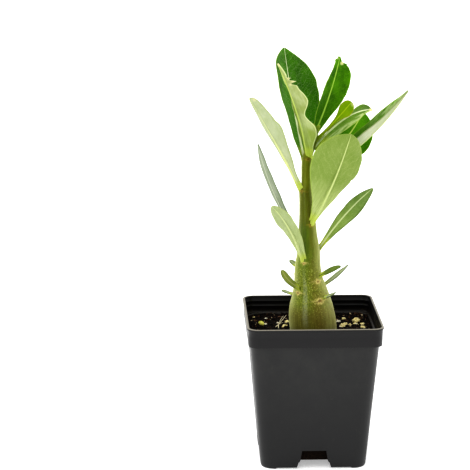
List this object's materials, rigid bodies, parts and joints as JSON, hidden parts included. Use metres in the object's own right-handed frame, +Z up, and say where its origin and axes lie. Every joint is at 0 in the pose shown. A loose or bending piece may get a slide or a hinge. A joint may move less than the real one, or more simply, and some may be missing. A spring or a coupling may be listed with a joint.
{
  "type": "potted succulent plant",
  "caption": "Young desert rose with a swollen stem base and broad glossy leaves, growing in soil in a square ribless nursery pot.",
  "frame": {"origin": "on the ground, under the middle of the outline's box", "axes": "+X to the right and -Y to the front as the pot is pictured, +Z up along the stem"},
  "size_m": [0.1218, 0.102, 0.3124],
  "materials": {
    "black_plastic": "moulded, satin",
    "potting_soil": "loose crumbs of peat and bark with pale stones",
    "stem_skin": "smooth succulent skin with leaf scars",
    "leaf_green": "glossy above, matte below",
    "leaf_under": "matte pale underside, glossy green above",
    "leaf_pale": "matte pale underside, glossy green above",
    "leaf_young": "soft sheen"
  },
  "bodies": {
    "root": {"pot": "black_plastic", "soil": "potting_soil", "stem": "stem_skin", "leaf_back_left": "leaf_green", "leaf_curled": "leaf_under", "leaf_back_right": "leaf_green", "leaf_young": "leaf_young", "leaf_recurved": "leaf_green", "leaf_broad_right": "leaf_green", "leaf_long_right": "leaf_pale", "leaf_front": "leaf_under", "leaf_left_upper": "leaf_pale", "leaf_left_narrow": "leaf_under", "leaf_left_lower": "leaf_pale", "leaf_right_lower": "leaf_under", "caudex_leaf_1": "leaf_under", "caudex_leaf_2": "leaf_under", "caudex_leaf_3": "leaf_under", "caudex_leaf_4": "leaf_under", "caudex_leaf_5": "leaf_under", "caudex_leaf_6": "leaf_under"}
  },
  "joints": []
}
